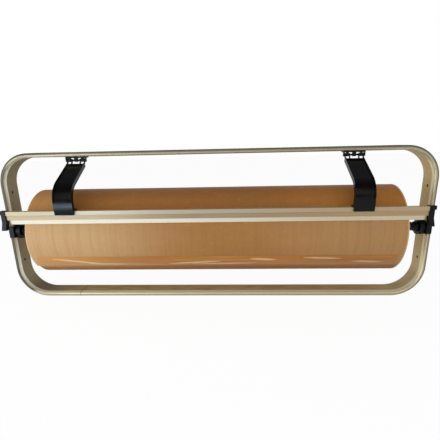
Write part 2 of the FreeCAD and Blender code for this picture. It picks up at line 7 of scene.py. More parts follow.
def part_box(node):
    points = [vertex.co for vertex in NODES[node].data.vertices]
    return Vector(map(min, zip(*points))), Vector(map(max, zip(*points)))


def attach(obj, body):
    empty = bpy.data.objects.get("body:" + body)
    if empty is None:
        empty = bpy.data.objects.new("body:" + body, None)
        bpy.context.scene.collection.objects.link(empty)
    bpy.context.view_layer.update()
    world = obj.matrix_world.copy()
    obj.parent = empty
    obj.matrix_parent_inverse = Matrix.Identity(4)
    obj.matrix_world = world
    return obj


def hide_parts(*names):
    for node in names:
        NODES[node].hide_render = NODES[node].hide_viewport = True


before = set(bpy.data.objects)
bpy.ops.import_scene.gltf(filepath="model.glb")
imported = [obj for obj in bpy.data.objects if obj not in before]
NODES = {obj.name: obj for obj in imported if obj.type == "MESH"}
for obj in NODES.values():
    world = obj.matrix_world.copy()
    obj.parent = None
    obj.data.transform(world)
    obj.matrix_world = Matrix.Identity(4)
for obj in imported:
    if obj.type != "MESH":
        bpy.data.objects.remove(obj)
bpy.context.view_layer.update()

MM = 0.001

# Sizes shared with the frame, in metres
tube_low, tube_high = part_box("frame_tube")
TUBE_WIDTH = tube_high.x - tube_low.x
TUBE_HEIGHT = tube_high.z - tube_low.z
TUBE_FRONT = tube_low.y
TUBE_THICKNESS = 6.2 * MM
CORNER_RADIUS = 45 * MM

roll_low, roll_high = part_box("paper_roll")
ROLL_RADIUS = (roll_high.z - roll_low.z) / 2
ROLL_CENTRE = (roll_low + roll_high) / 2
ROLL_HALF = roll_high.x
core_low, core_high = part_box("core_tube")
CORE_RADIUS = (core_high.z - core_low.z) / 2
tape_low, tape_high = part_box("closing_tape")
rail_low, rail_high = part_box("cutter_rail")


def rgb(red, green, blue):
    """Linear colour from the 0 to 255 values seen on a screen."""
    parts = []
    for value in (red, green, blue):
        share = value / 255
        linear = share / 12.92 if share <= 0.04045 else ((share + 0.055) / 1.055) ** 2.4
        parts.append(linear)
    return (*parts, 1.0)


class Nodes:
    """Short calls that add nodes to one tree."""

    def __init__(self, tree):
        self.tree = tree

    def node(self, kind, inputs, **settings):
        """New node whose inputs are set to values or linked to other nodes."""
        made = self.tree.nodes.new(kind)
        for setting, value in settings.items():
            setattr(made, setting, value)
        for socket, value in inputs.items():
            self.feed(made.inputs[socket], value)
        return made

    def feed(self, socket, value):
        if isinstance(value, bpy.types.NodeSocket):
            self.tree.links.new(value, socket)
        else:
            socket.default_value = value

    def math(self, operation, first, second=0.0):
        return self.node("ShaderNodeMath", {0: first, 1: second}, operation=operation).outputs[0]

    def times(self, first, second):
        return self.math("MULTIPLY", first, second)

    def largest(self, first, *others):
        total = first
        for value in others:
            total = self.math("MAXIMUM", total, value)
        return total

    def between(self, value, start, end):
        """0 before start, 1 after end, smooth between them."""
        made = self.node("ShaderNodeMapRange", {"Value": value, "From Min": start, "From Max": end},
                         interpolation_type="SMOOTHSTEP")
        return made.outputs["Result"]

    def spread(self, value, low, high):
        """Value from 0 to 1 turned into one from low to high."""
        made = self.node("ShaderNodeMapRange", {"Value": value, "To Min": low, "To Max": high})
        return made.outputs["Result"]

    def mix(self, share, first, second):
        """Colour that goes from first to second as share goes from 0 to 1."""
        made = self.node("ShaderNodeMix", {"Factor": share, 6: first, 7: second}, data_type="RGBA")
        return made.outputs[2]


class Shader(Nodes):
    """Material of one surface, placed in the object's own coordinates."""

    def __init__(self, name, **sockets):
        self.material = bpy.data.materials.new(name)
        self.material.use_nodes = True
        super().__init__(self.material.node_tree)
        self.surface = self.tree.nodes["Principled BSDF"]
        self.place = self.node("ShaderNodeTexCoord", {}).outputs["Object"]
        for socket, value in sockets.items():
            self.surface.inputs[socket.replace("_", " ")].default_value = value

    def axes(self):
        split = self.node("ShaderNodeSeparateXYZ", {0: self.place})
        return split.outputs[0], split.outputs[1], split.outputs[2]

    def noise(self, scale, stretch=(1, 1, 1), detail=3.0, roughness=0.5):
        """Noise from 0 to 1 whose grain is scale per metre, longer where stretch is small."""
        vector = self.node("ShaderNodeVectorMath", {0: self.place, 1: stretch}, operation="MULTIPLY")
        made = self.node("ShaderNodeTexNoise", {"Vector": vector.outputs[0], "Scale": scale,
                                                "Detail": detail, "Roughness": roughness})
        return made.outputs["Fac"]

    def colour(self, value):
        self.feed(self.surface.inputs["Base Color"], value)

    def roughness(self, value):
        self.feed(self.surface.inputs["Roughness"], value)

    def bump(self, height, distance, strength=1.0):
        made = self.node("ShaderNodeBump", {"Height": height, "Distance": distance,
                                            "Strength": strength})
        self.feed(self.surface.inputs["Normal"], made.outputs[0])


# Zones of the frame where its painted light and shade change, from where a tone begins to where it is
# full
LEFT_LEG = (-200 * MM, -285 * MM)
RIGHT_LEG = (200 * MM, 285 * MM)
TOP_BAR = (TUBE_HEIGHT - 26 * MM, TUBE_HEIGHT - 8 * MM)
TOP_IN_SHADE = (-240 * MM, -80 * MM)
BOTTOM_BAR = (12 * MM, 6 * MM)

# Bands across the tube's rounded front, as depths in from its outer face, from where a tone begins to
# where it is full:
# painted shade along the outer edge, painted highlight across the front and on the bottom bar, and
# the turn onto the inner face
EDGE_BAND = (3.9 * MM, 2.2 * MM)
EDGE_BAND_LEFT = (5.7 * MM, 4.8 * MM)
BRIGHT_BAND = (3.3 * MM, 4.9 * MM)
UPTURNED_BAND = (3.9 * MM, TUBE_THICKNESS - 1.0 * MM)
INNER_FACE = (TUBE_THICKNESS - 1.2 * MM, TUBE_THICKNESS - 0.1 * MM)

# The painted highlight on the shoulder reaches this far back from the front along the inner face
SHOULDER = 8.0 * MM
SHOULDER_LEFT = 6.5 * MM
SHOULDER_SOFT = 0.5 * MM

# Butt seam of the loop in the bottom bar: its place, its edge's distance and the level below it
SEAM_X = -210 * MM
SEAM_EDGE = (0.9 * MM, 0.2 * MM)
SEAM_TOP = (TUBE_THICKNESS + 1 * MM, TUBE_THICKNESS)

TUBE_TONE = rgb(170, 160, 134)
# Warm tone: the metal's random cloudy tone, and the painted reflection of the paper and painted shade
# on the inner face
TUBE_WARM_MOTTLE_AND_REFLECTION = rgb(206, 180, 130)


def loop_depth(shader):
    """Distance in from the outer face of the bent loop, in metres."""
    x, _, z = shader.axes()
    reach_x = shader.math("SUBTRACT", shader.math("ABSOLUTE", x), TUBE_WIDTH / 2 - CORNER_RADIUS)
    from_middle = shader.math("ABSOLUTE", shader.math("SUBTRACT", z, TUBE_HEIGHT / 2))
    reach_z = shader.math("SUBTRACT", from_middle, TUBE_HEIGHT / 2 - CORNER_RADIUS)
    outside_x = shader.math("POWER", shader.math("MAXIMUM", reach_x, 0.0), 2.0)
    outside_z = shader.math("POWER", shader.math("MAXIMUM", reach_z, 0.0), 2.0)
    corner = shader.math("SQRT", shader.math("ADD", outside_x, outside_z))
    inside = shader.math("MINIMUM", shader.math("MAXIMUM", reach_x, reach_z), 0.0)
    return shader.math("SUBTRACT", CORNER_RADIUS, shader.math("ADD", corner, inside))


def tube_edge(shader, depth, left):
    """1 on the band of painted shade along the tube's outer edge, which is wider on the left leg."""
    start = shader.spread(left, EDGE_BAND[0], EDGE_BAND_LEFT[0])
    full = shader.spread(left, EDGE_BAND[1], EDGE_BAND_LEFT[1])
    return shader.between(depth, start, full)


def tube_front(shader, depth, edge, left, right):
    """Rounded front of the tube: painted shade along its outer edge, a painted highlight towards its
    inner face, a painted cooler tone on the left leg and fine lines along it.
    """
    lines = shader.noise(900, stretch=(0.02, 1, 0.02), detail=2)
    # Painted highlight across the middle of the rounded front
    face = shader.mix(shader.between(depth, *BRIGHT_BAND), TUBE_TONE, rgb(224, 214, 186))
    # Painted cooler light on the left leg's front
    face = shader.mix(shader.spread(left, 0.0, 0.7), face, rgb(204, 204, 196))
    face = shader.mix(shader.spread(lines, 0.0, 0.35), face, TUBE_TONE)
    # Painted shade along the outer edge, strongest on the left leg
    darkness = shader.math("ADD", shader.spread(left, 0.2, 0.95), shader.spread(right, 0.0, 0.35))
    face = shader.mix(shader.times(edge, darkness), face, rgb(66, 63, 52))
    # Painted highlight on the shoulder where the front turns onto the inner face, whiter on the left
    # leg
    shoulder = shader.mix(left, rgb(255, 244, 206), rgb(255, 255, 244))
    shoulder = shader.mix(shader.spread(lines, 0.0, 0.25), shoulder, TUBE_TONE)
    return shader.mix(shader.between(depth, *INNER_FACE), face, shoulder)


def bar_tones(shader, front, depth, edge):
    """Front of the tube with painted shade on its top bar, a painted highlight on its bottom bar, and
    a painted lighter band low on the top bar's front.
    """
    x, _, z = shader.axes()
    top = shader.between(z, *TOP_BAR)
    bottom = shader.between(z, *BOTTOM_BAR)
    # Painted shade on the top bar, except towards its left end
    shaded = shader.times(shader.between(x, *TOP_IN_SHADE), top)
    front = shader.mix(shader.times(shaded, 0.85), front, rgb(132, 128, 110))
    # Painted highlight on the upper part of the bottom bar's rounded front, which keeps no painted
    # shade along its outer edge
    upturned = shader.between(depth, *UPTURNED_BAND)
    front = shader.mix(shader.times(bottom, upturned), front, rgb(255, 246, 212))
    front = shader.mix(shader.times(bottom, edge), front, TUBE_TONE)
    # Painted lighter band on the lower part of the top bar's rounded front
    underside = shader.times(top, shader.between(depth, EDGE_BAND[1], EDGE_BAND[0]))
    return shader.mix(shader.times(underside, 0.8), front, rgb(190, 184, 160))


def tube_inside(shader, streaks, left, right):
    """Inner face with streaks along the tube, in a painted warm reflection of the paper and painted
    shade, darker on the left leg and paler on the right leg.
    """
    inner = shader.mix(shader.between(streaks, 0.3, 0.7), rgb(168, 140, 94), TUBE_WARM_MOTTLE_AND_REFLECTION)
    # Inner face painted paler on the right leg and darker on the left leg
    inner = shader.mix(shader.spread(right, 0.0, 0.55), inner, rgb(212, 192, 152))
    return shader.mix(shader.spread(left, 0.0, 0.85), inner, rgb(122, 117, 101))


def tube_seam(shader):
    """1 along the thin line where the ends of the bent tube meet."""
    x, _, z = shader.axes()
    from_seam = shader.math("ABSOLUTE", shader.math("SUBTRACT", x, SEAM_X))
    return shader.times(shader.between(from_seam, *SEAM_EDGE), shader.between(z, *SEAM_TOP))


def frame_metal():
    """Satin anodised tube: a rounded front with painted highlight and painted shade, a streaky inner
    face with a painted reflection of the paper and painted shade, a random cloudy tone and a seam
    line.
    """
    shader = Shader("frame_metal", Metallic=0.7, Specular_IOR_Level=0.1,
                    Specular_Tint=(0.4, 0.38, 0.34, 1.0))
    x, y, _ = shader.axes()
    left = shader.between(x, *LEFT_LEG)
    right = shader.between(x, *RIGHT_LEG)
    depth = loop_depth(shader)
    edge = tube_edge(shader, depth, left)
    streaks = shader.noise(420, stretch=(0.12, 1, 0.12), roughness=0.6)
    front = bar_tones(shader, tube_front(shader, depth, edge, left, right), depth, edge)
    inner = tube_inside(shader, streaks, left, right)
    # Mask of the shoulder's painted highlight, which reaches a little less far back on the left leg
    behind_front = shader.math("SUBTRACT", y, TUBE_FRONT)
    past = shader.math("SUBTRACT", behind_front, shader.spread(left, SHOULDER, SHOULDER_LEFT))
    past_shoulder = shader.between(past, -SHOULDER_SOFT, SHOULDER_SOFT)
    on_inside = shader.times(shader.between(depth, *INNER_FACE), past_shoulder)
    base = shader.mix(on_inside, front, inner)
    cloud = shader.noise(16, detail=4, roughness=0.6)
    base = shader.mix(shader.spread(cloud, 0.0, 0.14), base, TUBE_WARM_MOTTLE_AND_REFLECTION)
    shader.colour(shader.mix(shader.times(tube_seam(shader), 0.6), base, rgb(90, 70, 50)))
    shader.roughness(shader.spread(streaks, 0.42, 0.56))
    shader.bump(shader.noise(1500, stretch=(0.15, 1, 0.15), detail=2), 0.02 * MM, 0.5)
    return shader.material


# Recessed strip of the rail, as depths below its top face: painted shade darkens it
STRIP_TOP = 5.2 * MM
STRIP_BOTTOM = 11.6 * MM
STRIP_SOFT = 0.3 * MM

# Ends of the rail, from where painted darker tones of the rail and blade begin to where they are full
RAIL_LEFT = (-120 * MM, -250 * MM)
RAIL_RIGHT = (0.0, 200 * MM)
BLADE_RIGHT = (-160 * MM, 200 * MM)


def rail_metal():
    """Satin aluminium section with fine lines along it, painted shade in its recessed strip, and
    painted darker towards its left end and darker and warmer towards its right.
    """
    shader = Shader("rail_metal", Metallic=0.7)
    dull = rgb(160, 142, 114)
    lines = shader.noise(900, stretch=(0.015, 1, 1), roughness=0.6)
    x, _, z = shader.axes()
    drop = shader.math("SUBTRACT", rail_high.z, z)
    below_flange = shader.between(drop, STRIP_TOP - STRIP_SOFT, STRIP_TOP + STRIP_SOFT)
    above_lip = shader.between(drop, STRIP_BOTTOM + STRIP_SOFT, STRIP_BOTTOM - STRIP_SOFT)
    flange = shader.mix(shader.spread(lines, 0.15, 0.4), rgb(196, 184, 160), dull)
    # Painted shade in the recessed strip
    recess = shader.mix(shader.between(lines, 0.3, 0.7), rgb(168, 151, 124), rgb(156, 139, 112))
    base = shader.mix(shader.times(below_flange, above_lip), flange, recess)
    base = shader.mix(shader.spread(shader.noise(14, detail=4), 0.0, 0.25), base, dull)
    # Painted darker tone towards the left end and darker, warmer tone towards the right
    left = shader.between(x, *RAIL_LEFT)
    right = shader.between(x, *RAIL_RIGHT)
    base = shader.mix(shader.times(left, 0.6), base, rgb(140, 124, 96))
    shader.colour(shader.mix(shader.times(right, 0.55), base, rgb(182, 154, 110)))
    shader.roughness(shader.spread(lines, 0.4, 0.52))
    shader.bump(lines, 0.03 * MM, 0.6)
    return shader.material


def blade_steel():
    """Bright ground steel with fine lines along the blade, painted darker and warmer towards its
    right end.
    """
    shader = Shader("blade_steel", Metallic=0.9)
    lines = shader.noise(2200, stretch=(0.02, 1, 1), detail=2)
    steel = shader.mix(lines, rgb(250, 246, 230), rgb(230, 223, 204))
    # Painted darker, warmer tone towards the right end
    right = shader.between(shader.axes()[0], *BLADE_RIGHT)
    shader.colour(shader.mix(shader.spread(right, 0.0, 0.75), steel, rgb(180, 162, 128)))
    shader.roughness(shader.spread(lines, 0.2, 0.32))
    shader.bump(lines, 0.01 * MM, 0.5)
    return shader.material


def plain_steel(name, light, dark, rough):
    """Small steel parts: turned or drawn finish with a few stains."""
    shader = Shader(name, Metallic=0.95)
    stains = shader.noise(160, detail=4)
    grain = shader.noise(1800, stretch=(0.2, 1, 1), detail=2)
    shader.colour(shader.mix(shader.spread(stains, 0.0, 0.8), light, dark))
    shader.roughness(shader.spread(grain, rough, rough + 0.18))
    shader.bump(grain, 0.01 * MM, 0.4)
    return shader.material


def black_plastic(name, tone, rough, grain_size, relief):
    """Black moulded plastic with a fine grain, a little dust and handling wear."""
    shader = Shader(name, Specular_IOR_Level=0.16)
    dust = shader.noise(70, detail=5, roughness=0.6)
    dusty = rgb(tone + 12, tone + 11, tone + 8)
    shader.colour(shader.mix(shader.spread(dust, -0.35, 0.75), rgb(tone, tone, tone), dusty))
    shader.roughness(shader.spread(dust, rough - 0.06, rough + 0.1))
    shader.bump(shader.noise(grain_size), relief, 0.6)
    return shader.material


# Zones of the painted light and shade on the paper, from where a tone begins to where it is full:
# levels above the roll's axis and places along it
FRONT_LEVEL = (42 * MM, 18 * MM)
UNDER_LEVEL = (-36 * MM, -48 * MM)
FRONT_LEFT = (0.0, -190 * MM)
FRONT_RIGHT = (20 * MM, 200 * MM)
TOP_LEFT = (-190 * MM, -220 * MM)
TOP_RIGHT = (40 * MM, 200 * MM)
RIM_HIGHLIGHT_BAND = (ROLL_HALF - 2.6 * MM, ROLL_HALF - 0.4 * MM)


def painted_paper_light(shader, base, pale):
    """Painted light on the paper from the front left: a painted pale sheen on its front, strongest
    towards the left end, painted deeper shade on the top and underneath, and painted lighter and more
    orange tones at the top's left and right ends.
    """
    x, _, z = shader.axes()
    rich = rgb(154, 92, 34)
    level = shader.math("SUBTRACT", z, ROLL_CENTRE.z)
    front = shader.between(level, *FRONT_LEVEL)
    under = shader.between(level, *UNDER_LEVEL)
    # Painted pale sheen on the front, strongest towards the left end
    painted_sheen = shader.math("ADD", shader.spread(shader.between(x, *FRONT_LEFT), 0.0, 0.5),
                           shader.spread(shader.between(x, *FRONT_RIGHT), 0.0, 0.26))
    base = shader.mix(shader.times(front, painted_sheen), base, pale)
    # Painted deeper shade on the top
    base = shader.mix(shader.spread(front, 0.55, 0.0), base, rich)
    # Painted lighter tone at the top's left end and more orange tone at its right end
    top_left = shader.times(shader.between(x, *TOP_LEFT), shader.spread(front, 0.5, 0.0))
    base = shader.mix(top_left, base, rgb(226, 172, 104))
    top_right = shader.times(shader.between(x, *TOP_RIGHT), shader.spread(front, 0.55, 0.0))
    base = shader.mix(top_right, base, rgb(206, 134, 50))
    # Painted deeper shade underneath
    return shader.mix(shader.spread(under, 0.0, 0.9), base, rich)


def kraft_paper():
    """Machine-glazed kraft paper: fibres, faint bands round the roll, painted light and shade, and a
    painted highlight along its ends.
    """
    shader = Shader("kraft_paper", Specular_IOR_Level=0.2)
    deep = rgb(152, 102, 52)
    # Pale tone of the paper's random blotches, also used for its painted sheen and the painted
    # highlight along its ends
    pale = rgb(232, 198, 150)
    cloud = shader.noise(9, stretch=(1, 1.6, 1.6), detail=5, roughness=0.6)
    bands = shader.noise(210, stretch=(1, 0.03, 0.03), roughness=0.6)
    blotches = shader.noise(110, stretch=(0.8, 1, 1), detail=5, roughness=0.75)
    fibres = shader.noise(900, stretch=(0.35, 1, 1), detail=4, roughness=0.65)
    base = shader.mix(shader.spread(cloud, 0.1, 0.8), rgb(192, 138, 78), deep)
    base = painted_paper_light(shader, base, pale)
    base = shader.mix(shader.times(shader.between(bands, 0.4, 0.72), 0.24), base, deep)
    base = shader.mix(shader.times(shader.between(blotches, 0.5, 0.78), 0.14), base, pale)
    base = shader.mix(shader.spread(fibres, 0.0, 0.35), base, deep)
    # Painted highlight along the ends of the roll
    on_rim_highlight = shader.between(shader.math("ABSOLUTE", shader.axes()[0]), *RIM_HIGHLIGHT_BAND)
    shader.colour(shader.mix(shader.times(on_rim_highlight, 0.7), base, pale))
    shader.roughness(shader.spread(cloud, 0.42, 0.56))
    shader.bump(fibres, 0.06 * MM, 0.5)
    return shader.material


def paper_ends():
    """Cut ends of the wound layers: fine rings round the core."""
    shader = Shader("paper_ends", Roughness=0.8)
    _, y, z = shader.axes()
    across = shader.math("POWER", shader.math("SUBTRACT", y, ROLL_CENTRE.y), 2.0)
    up = shader.math("POWER", shader.math("SUBTRACT", z, ROLL_CENTRE.z), 2.0)
    radius = shader.math("SQRT", shader.math("ADD", across, up))
    vector = shader.node("ShaderNodeCombineXYZ", {0: radius}).outputs[0]
    rings = shader.node("ShaderNodeTexNoise", {"Vector": vector, "Scale": 1500.0, "Detail": 3.0})
    wide = shader.node("ShaderNodeTexNoise", {"Vector": vector, "Scale": 160.0, "Detail": 2.0})
    base = shader.mix(rings.outputs["Fac"], rgb(214, 176, 126), rgb(150, 104, 62))
    shader.colour(shader.mix(shader.spread(wide.outputs["Fac"], 0.0, 0.6), base, rgb(178, 132, 84)))
    shader.bump(rings.outputs["Fac"], 0.15 * MM, 0.8)
    return shader.material


# Left end of the tape, from where its painted lighter tone begins to where it is full
TAPE_LEFT = (-60 * MM, -200 * MM)


def tape_film():
    """Glossy tape over the paper, amber with painted highlight streaks, a painted highlight over the
    air under it, and a painted lighter tone towards its left end.
    """
    shader = Shader("tape_film", Specular_IOR_Level=0.3, Coat_Weight=0.1, Coat_Roughness=0.15)
    streaks = shader.noise(240, stretch=(0.03, 1, 1))
    pools = shader.noise(30, stretch=(0.3, 1, 1))
    air = shader.node("ShaderNodeAttribute", {}, attribute_name="air").outputs["Fac"]
    base = shader.mix(pools, rgb(202, 132, 40), rgb(158, 92, 20))
    # Painted highlight streaks along the tape
    base = shader.mix(shader.times(shader.between(streaks, 0.5, 0.7), 0.35), base, rgb(216, 168, 104))
    left = shader.between(shader.axes()[0], *TAPE_LEFT)
    # Painted lighter tone towards the left end
    base = shader.mix(shader.times(left, 0.3), base, rgb(232, 182, 110))
    # Painted highlight over the air under the tape
    shader.colour(shader.mix(shader.times(air, 0.85), base, rgb(236, 200, 146)))
    shader.roughness(shader.spread(streaks, 0.2, 0.42))
    shader.bump(streaks, 0.05 * MM, 0.5)
    return shader.material


def core_board():
    """Grey-brown board wound on a slant."""
    shader = Shader("core_board", Roughness=0.85)
    spiral = shader.noise(260, stretch=(1, 0.3, 0.3))
    shader.colour(shader.mix(spiral, rgb(170, 142, 106), rgb(136, 108, 76)))
    shader.bump(spiral, 0.05 * MM, 0.5)
    return shader.material


# Edges sharper than this stay crisp on the frame's nodes and on the pieces made here
NODE_EDGE = math.radians(28)
PIECE_EDGE = math.radians(35)


def smooth_by_angle(mesh, limit):
    """Curved faces shade smooth and edges sharper than the limit stay crisp."""
    mesh.polygons.foreach_set("use_smooth", [True] * len(mesh.polygons))
    mesh.set_sharp_from_angle(angle=limit)


def dress_frame():
    """Give every carried-over node its material."""
    zinc = plain_steel("zinc_steel", rgb(176, 172, 160), rgb(112, 106, 94), 0.3)
    dark_steel = plain_steel("dark_steel", rgb(40, 40, 40), rgb(22, 21, 20), 0.35)
    moulded = black_plastic("moulded_plastic", 3, 0.34, 900, 0.03 * MM)
    named = {
        "frame_tube": frame_metal(),
        "splice_plug": plain_steel("mill_metal", rgb(190, 190, 188), rgb(140, 138, 132), 0.36),
        "cutter_rail": rail_metal(),
        "cutter_blade": blade_steel(),
        "axle_rod": zinc,
        "axle_clips": dark_steel,
        "core_tube": core_board(),
    }
    families = {
        "cutter_arm": black_plastic("arm_plastic", 3, 0.17, 1500, 0.01 * MM),
        "hinge_clip": black_plastic("clip_plastic", 4, 0.34, 1100, 0.02 * MM),
        "hinge_pin": dark_steel,
    }

    def look(node):
        if node in named:
            return named[node]
        if node.endswith("screws"):
            return zinc
        for start, material in families.items():
            if node.startswith(start):
                return material
        return moulded

    for node, piece in NODES.items():
        material = look(node)
        if not piece.material_slots:
            piece.data.materials.append(material)
        for slot in piece.material_slots:
            slot.material = material
        smooth_by_angle(piece.data, NODE_EDGE)


def add_mesh(name, points, faces, materials):
    mesh = bpy.data.meshes.new(name)
    mesh.from_pydata(points, [], faces)
    mesh.update()
    for material in materials:
        mesh.materials.append(material)
    piece = bpy.data.objects.new(name, mesh)
    bpy.context.scene.collection.objects.link(piece)
    return piece


# Points of a mesh closer than this are one
WELD_DISTANCE = 0.002 * MM


def weld(piece):
    """Join points that lie on each other and turn the faces outward."""
    work = bmesh.new()
    work.from_mesh(piece.data)
    bmesh.ops.remove_doubles(work, verts=work.verts, dist=WELD_DISTANCE)
    bmesh.ops.recalc_face_normals(work, faces=work.faces)
    work.to_mesh(piece.data)
    work.free()


# The wound roll: its last turn drifts to the left and stands out past the layers at both ends,
# and its free edge lies under the tape
WRAP_STEPS = 240
WRAP_ROWS = 60
WRAP_THICKNESS = 0.3 * MM
WRAP_DRIFT = 3.0 * MM
FREE_EDGE = math.radians(43)
RIGHT_RIM = 0.4 * MM
LAYER_RINGS = 22
LAYER_STEP = 0.25 * MM
LAYER_VARIETY = 2.7
PAPER_WAVE = 0.12 * MM
WAVES_ALONG = 9
WAVES_ROUND = 5
WAVE_SEED = 0.3


def round_roll(turn, radius):
    """Point across the roll, turning down and to the back from the free edge."""
    angle = FREE_EDGE + turn
    return (ROLL_CENTRE.y - radius * math.cos(angle), ROLL_CENTRE.z - radius * math.sin(angle))


def wrap_radius(share, x):
    """Radius of the outer turn, a share of the way round from its start."""
    place = Vector((x * WAVES_ALONG, share * WAVES_ROUND, WAVE_SEED))
    wave = min(noise.noise(place) * PAPER_WAVE, PAPER_WAVE)
    return ROLL_RADIUS - PAPER_WAVE - WRAP_THICKNESS * (1 - share) + wave


def wrap_start(share):
    """Left edge of the outer turn, a share of the way round from its start."""
    return -ROLL_HALF + WRAP_DRIFT * (1 - share)


def wrap_column(share):
    """Points along the outer turn, from its left edge to its right."""
    start = wrap_start(share)
    column = []
    for row in range(WRAP_ROWS + 1):
        x = start + (ROLL_HALF - start) * row / WRAP_ROWS
        column.append((x, *round_roll(share * 2 * math.pi, wrap_radius(share, x))))
    return column


def end_column(share, side, edge_x, body_x):
    """Points of an end of the roll, from the outer turn's edge in to the core."""
    turn = share * 2 * math.pi
    outer = wrap_radius(share, edge_x)
    inner = outer - WRAP_THICKNESS
    column = [(edge_x, *round_roll(turn, outer)), (edge_x, *round_roll(turn, inner)),
              (body_x, *round_roll(turn, inner))]
    for ring in range(1, LAYER_RINGS + 1):
        radius = inner + (CORE_RADIUS - inner) * ring / LAYER_RINGS
        if ring == LAYER_RINGS:
            radius = CORE_RADIUS
        offset = LAYER_STEP * noise.noise(Vector((ring * LAYER_VARIETY, side, 0)))
        column.append((body_x + offset, *round_roll(turn, radius)))
    return column


def build_roll():
    """Wound paper with the edges of its layers at both ends."""
    points = []
    faces = []
    kinds = []

    def grid(columns, kind):
        """Faces between neighbouring columns of points of equal length."""
        starts = []
        for column in columns:
            starts.append(len(points))
            points.extend(column)
        for left, right in zip(starts, starts[1:]):
            for row in range(len(columns[0]) - 1):
                faces.append((left + row, left + row + 1, right + row + 1, right + row))
                kinds.append(kind)

    shares = [step / WRAP_STEPS for step in range(WRAP_STEPS + 1)]
    skin = [wrap_column(share) for share in shares]
    left_end = [end_column(share, -1, wrap_start(share), wrap_start(0)) for share in shares]
    right_end = [end_column(share, 1, ROLL_HALF, ROLL_HALF - RIGHT_RIM) for share in shares]
    bore = [[left[-1], right[-1]] for left, right in zip(left_end, right_end)]
    grid(skin, 0)
    grid(right_end, 1)
    grid([column[::-1] for column in left_end], 1)
    grid([pair[::-1] for pair in bore], 1)
    grid([skin[-1], skin[0]], 0)
    piece = add_mesh("wound_paper", points, faces, [kraft_paper(), paper_ends()])
    piece.data.polygons.foreach_set("material_index", kinds)
    weld(piece)
    smooth_by_angle(piece.data, PIECE_EDGE)
    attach(piece, "roll")
    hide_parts("paper_roll")


# Tape with long air pockets under it. Its relief is shared between a flat level, ripples and
# the rise over a pocket
TAPE_COLUMNS = 420
TAPE_ROWS = 20
TAPE_FILM = 0.05 * MM
TAPE_RELIEF = 0.1 * MM
FLAT_LEVEL = 0.3
RIPPLE_RISE = 0.25
POCKET_RISE = 0.6
RIPPLES_ALONG = 22
RIPPLES_ACROSS = 7
RIPPLE_SEED = 1.7
POCKET_TIP = 0.15
# Air under the tape: start along the roll, its level, end, its level, and half width
TAPE_POCKETS = ((-0.222, 0.20, -0.150, 0.80, 0.12), (-0.175, 0.78, -0.118, 0.84, 0.10),
                (-0.060, 0.80, 0.012, 0.52, 0.12), (-0.030, 0.86, 0.060, 0.76, 0.08),
                (0.050, 0.28, 0.085, 0.40, 0.14), (0.120, 0.20, 0.170, 0.30, 0.10),
                (0.185, 0.60, 0.225, 0.70, 0.10))


def tape_air(x, across):
    """Share of air under the tape, 1 along the middle of a pocket."""
    air = 0
    for start, start_level, end, end_level, half in TAPE_POCKETS:
        along = (x - start) / (end - start)
        if 0 < along < 1:
            level = start_level + (end_level - start_level) * along
            width = half * min(1.0, 4 * along * (1 - along) + POCKET_TIP)
            off = abs(across - level) / width
            if off < 1:
                air = max(air, 1 - off * off)
    return air


def tape_height(x, across):
    """Height of the tape's surface from 0 to 1, raised over the pockets of air."""
    place = Vector((x * RIPPLES_ALONG, across * RIPPLES_ACROSS, RIPPLE_SEED))
    height = FLAT_LEVEL + RIPPLE_RISE * noise.noise(place) + POCKET_RISE * tape_air(x, across)
    return max(0.0, min(1.0, height))


def tape_faces():
    """Faces of two equal sheets of points, one over the other, closed along their rims."""
    wide = TAPE_ROWS + 1
    top = wide * (TAPE_COLUMNS + 1)
    faces = []
    for column in range(TAPE_COLUMNS):
        for row in range(TAPE_ROWS):
            at = column * wide + row
            quad = (at, at + 1, at + wide + 1, at + wide)
            faces.append(quad)
            faces.append(tuple(top + corner for corner in reversed(quad)))
        for row in (0, TAPE_ROWS):
            at = column * wide + row
            faces.append((at, at + wide, top + at + wide, top + at))
    for column in (0, TAPE_COLUMNS):
        for row in range(TAPE_ROWS):
            at = column * wide + row
            faces.append((at, at + 1, top + at + 1, top + at))
    return faces


def build_tape():
    """Strip of tape round the front of the roll, with the air under it as an attribute."""
    start = math.atan2(ROLL_CENTRE.z - tape_high.z, ROLL_CENTRE.y - tape_low.y)
    end = math.atan2(ROLL_CENTRE.z - tape_low.z, ROLL_CENTRE.y - tape_high.y)
    points = []
    airs = []
    for outside in (False, True):
        for column in range(TAPE_COLUMNS + 1):
            x = tape_low.x + (tape_high.x - tape_low.x) * column / TAPE_COLUMNS
            for row in range(TAPE_ROWS + 1):
                across = row / TAPE_ROWS
                angle = start + (end - start) * across
                radius = ROLL_RADIUS
                if outside:
                    radius += TAPE_FILM + TAPE_RELIEF * tape_height(x, across)
                points.append((x, ROLL_CENTRE.y - radius * math.cos(angle),
                               ROLL_CENTRE.z - radius * math.sin(angle)))
                airs.append(tape_air(x, across))
    piece = add_mesh("clear_tape", points, tape_faces(), [tape_film()])
    air = piece.data.attributes.new("air", "FLOAT", "POINT")
    air.data.foreach_set("value", airs)
    weld(piece)
    smooth_by_angle(piece.data, PIECE_EDGE)
    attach(piece, "roll")
    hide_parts("closing_tape")


# Camera: place in metres, angles in radians, focal length and centre in the photograph's pixels
CAMERA_PLACE = Vector((31.68, -486.79, 221.85)) * MM
CAMERA_YAW = -0.0507
CAMERA_PITCH = -0.2734
CAMERA_ROLL = -0.0226
PHOTO_SIZE = 440
FOCAL_PIXELS = 337.834
CENTRE_PIXEL = (219.8, 239.3)
SENSOR = 36.0
CLIP_START = 0.01


